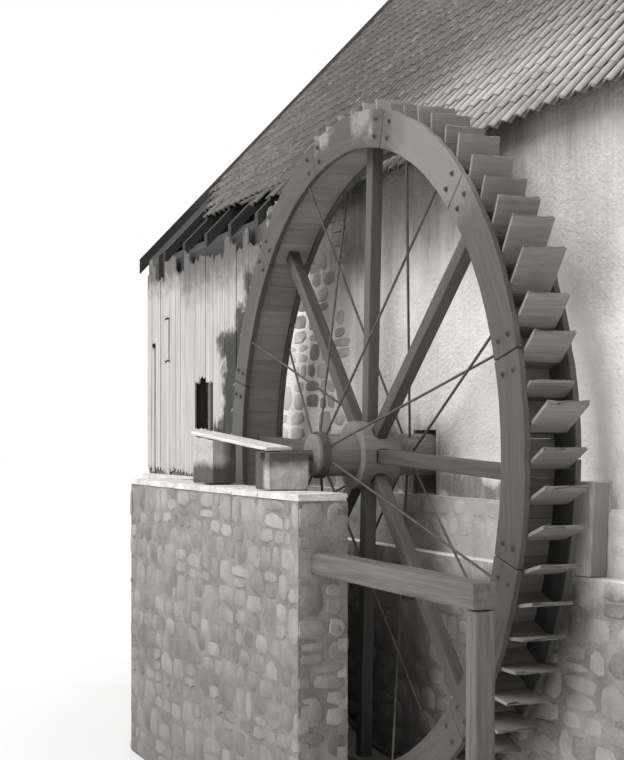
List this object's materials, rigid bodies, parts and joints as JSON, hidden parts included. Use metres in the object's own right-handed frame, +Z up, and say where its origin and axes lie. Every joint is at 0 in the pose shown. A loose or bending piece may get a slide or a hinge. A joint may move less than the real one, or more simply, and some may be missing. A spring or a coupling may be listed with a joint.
{
  "type": "watermill with a bucket wheel",
  "caption": "Long whitewashed mill house with a steep pantiled roof, part boarded, and a narrow timber bucket wheel turning in a walled pit beside its wall.",
  "frame": {"origin": "on the pit floor, straight below the axle, in the outer face of the wheel-side wall", "axes": "+X along the wheel-side wall towards the near gable, +Y into the house along the axle, +Z up"},
  "size_m": [13.8, 11.07, 11.2214],
  "materials": {
    "masonry": "rough rubble, damp near the pit",
    "plaster": "lime wash on plaster, stained",
    "old_boards": "bleached weathered boards",
    "dark_timber": "wet dark oak",
    "roof_timber": "weathered timber",
    "tiles": "old clay pantiles with lichen",
    "coping": "worn stone",
    "iron": "rusted iron",
    "door_boards": "weathered planks"
  },
  "bodies": {
    "house": {"plinth_wheel_side": "masonry", "plinth_ledge": "masonry", "plinth_back": "masonry", "plinth_near": "masonry", "plinth_far": "masonry", "ground_floor": "masonry", "wheel_wall": "plaster", "boarded_wall": "old_boards", "back_wall": "plaster", "near_gable": "plaster", "far_gable": "plaster", "opening_lintel": "plaster", "door_lintel": "coping", "door_frame": "roof_timber", "back_door": "door_boards", "wall_plates": "roof_timber", "ridge_beam": "roof_timber", "rafters_front": "roof_timber", "rafters_back": "roof_timber", "roof_front": "tiles", "roof_back": "tiles", "ridge_tiles": "tiles", "bargeboards_near": "roof_timber", "bargeboards_far": "roof_timber", "pit_wall": "masonry", "pit_end_wall": "masonry", "pit_coping": "coping", "pit_end_coping": "coping", "pit_beam": "roof_timber", "guard_post": "roof_timber", "wall_post": "old_boards", "outer_bearing": "coping", "bearing_plank": "old_boards", "prop_block": "coping", "inner_bearing": "dark_timber"},
    "wheel": {"axle": "dark_timber", "axle_hoops": "iron", "gudgeons": "iron", "hub_boss": "dark_timber", "arms": "dark_timber", "stay_rods": "iron", "front_shroud": "dark_timber", "back_shroud": "dark_timber", "sole": "dark_timber", "buckets": "dark_timber"}
  },
  "joints": [
    {"name": "wheel_spin", "type": "hinge", "parent": "house", "child": "wheel", "pos_m": [0, -0.55, 3.35], "axis": [0, 1, 0], "continuous": true}
  ]
}
